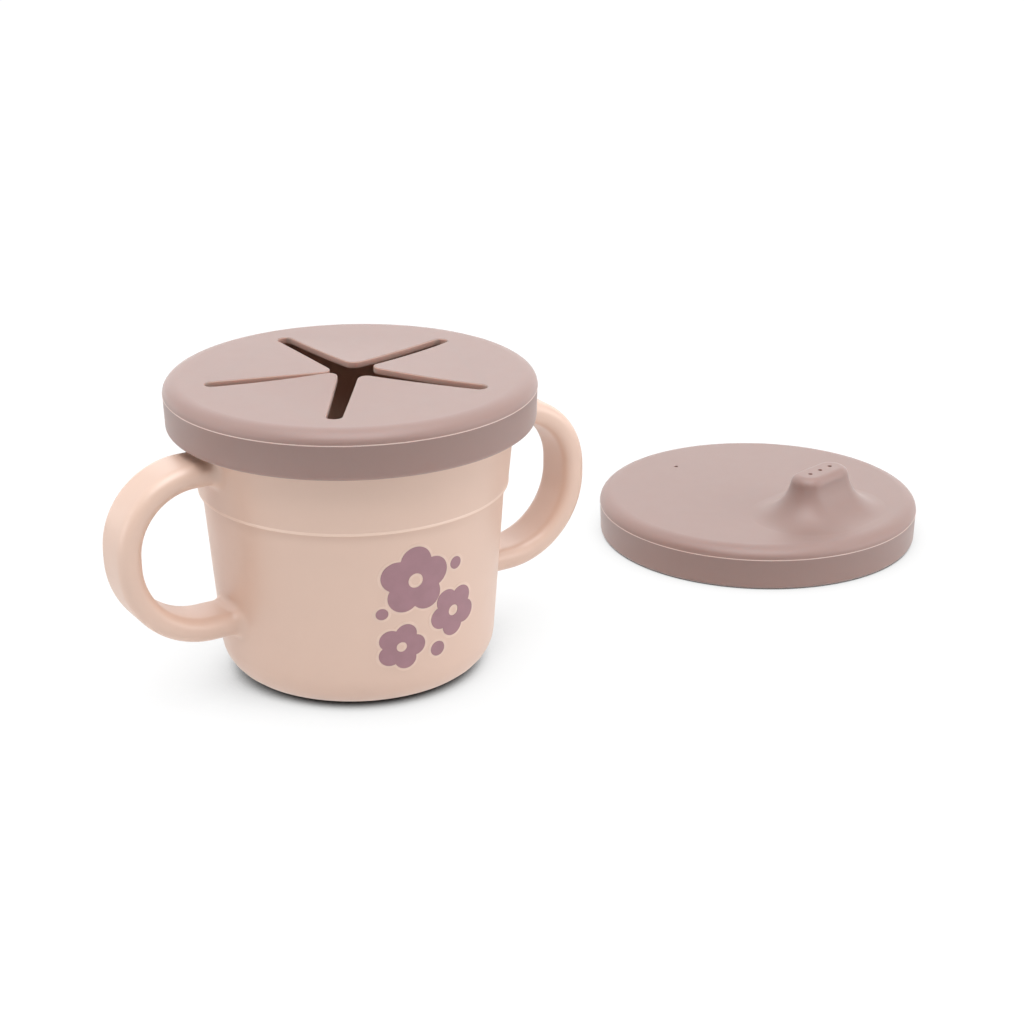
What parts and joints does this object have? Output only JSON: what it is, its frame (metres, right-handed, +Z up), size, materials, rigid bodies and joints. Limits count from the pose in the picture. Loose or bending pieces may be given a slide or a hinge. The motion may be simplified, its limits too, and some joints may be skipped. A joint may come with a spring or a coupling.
{
  "type": "snack cup",
  "caption": "Two-handled toddler cup with a soft slit snack lid on its rim and a soft spout lid lying beside it, for snacks or drinks.",
  "frame": {"origin": "centre of the cup's flat base, on the table", "axes": "+X from the cup's axis through the right handle towards the spout lid, -Y towards the printed front, +Z up"},
  "size_m": [0.2601, 0.1105, 0.0786],
  "materials": {
    "cup_plastic": "satin moulded polypropylene, pale peach",
    "lid_silicone": "matt silicone, dusty pink",
    "print_ink": "flat mauve print film"
  },
  "bodies": {
    "cup": {"cup_body": "cup_plastic", "left_handle": "cup_plastic", "right_handle": "cup_plastic", "front_print": "print_ink"},
    "snack_lid": {"snack_lid_ring": "lid_silicone"},
    "snack_flap_1": {"snack_flap_1": "lid_silicone"},
    "snack_flap_2": {"snack_flap_2": "lid_silicone"},
    "snack_flap_3": {"snack_flap_3": "lid_silicone"},
    "snack_flap_4": {"snack_flap_4": "lid_silicone"},
    "snack_flap_5": {"snack_flap_5": "lid_silicone"},
    "spout_lid": {"spout_lid": "lid_silicone"}
  },
  "joints": [
    {"name": "snack_lid_lift", "type": "slide", "parent": "cup", "child": "snack_lid", "axis": [0, 0, 1], "range_m": [0, 0.06]},
    {"name": "flap_1_bend", "type": "hinge", "parent": "snack_lid", "child": "snack_flap_1", "pos_m": [0.01603, 0.02349, 0.07765], "axis": [-0.8261, 0.5635, 0], "range_deg": [-70, 60], "stiffness_Nm_per_rad": 0.006},
    {"name": "flap_2_bend", "type": "hinge", "parent": "snack_lid", "child": "snack_flap_2", "pos_m": [-0.01739, 0.0225, 0.07765], "axis": [-0.7912, -0.6115, 0], "range_deg": [-70, 60], "stiffness_Nm_per_rad": 0.006},
    {"name": "flap_3_bend", "type": "hinge", "parent": "snack_lid", "child": "snack_flap_3", "pos_m": [-0.02677, -0.00959, 0.07765], "axis": [0.3371, -0.9415, 0], "range_deg": [-70, 60], "stiffness_Nm_per_rad": 0.006},
    {"name": "flap_4_bend", "type": "hinge", "parent": "snack_lid", "child": "snack_flap_4", "pos_m": [0.00084, -0.02842, 0.07765], "axis": [0.9996, 0.0297, 0], "range_deg": [-70, 60], "stiffness_Nm_per_rad": 0.006},
    {"name": "flap_5_bend", "type": "hinge", "parent": "snack_lid", "child": "snack_flap_5", "pos_m": [0.02729, -0.00798, 0.07765], "axis": [0.2807, 0.9598, 0], "range_deg": [-70, 60], "stiffness_Nm_per_rad": 0.006},
    {"name": "spout_lid_lift", "type": "slide", "parent": "cup", "child": "spout_lid", "axis": [0, 0, 1], "range_m": [0, 0.06]}
  ]
}
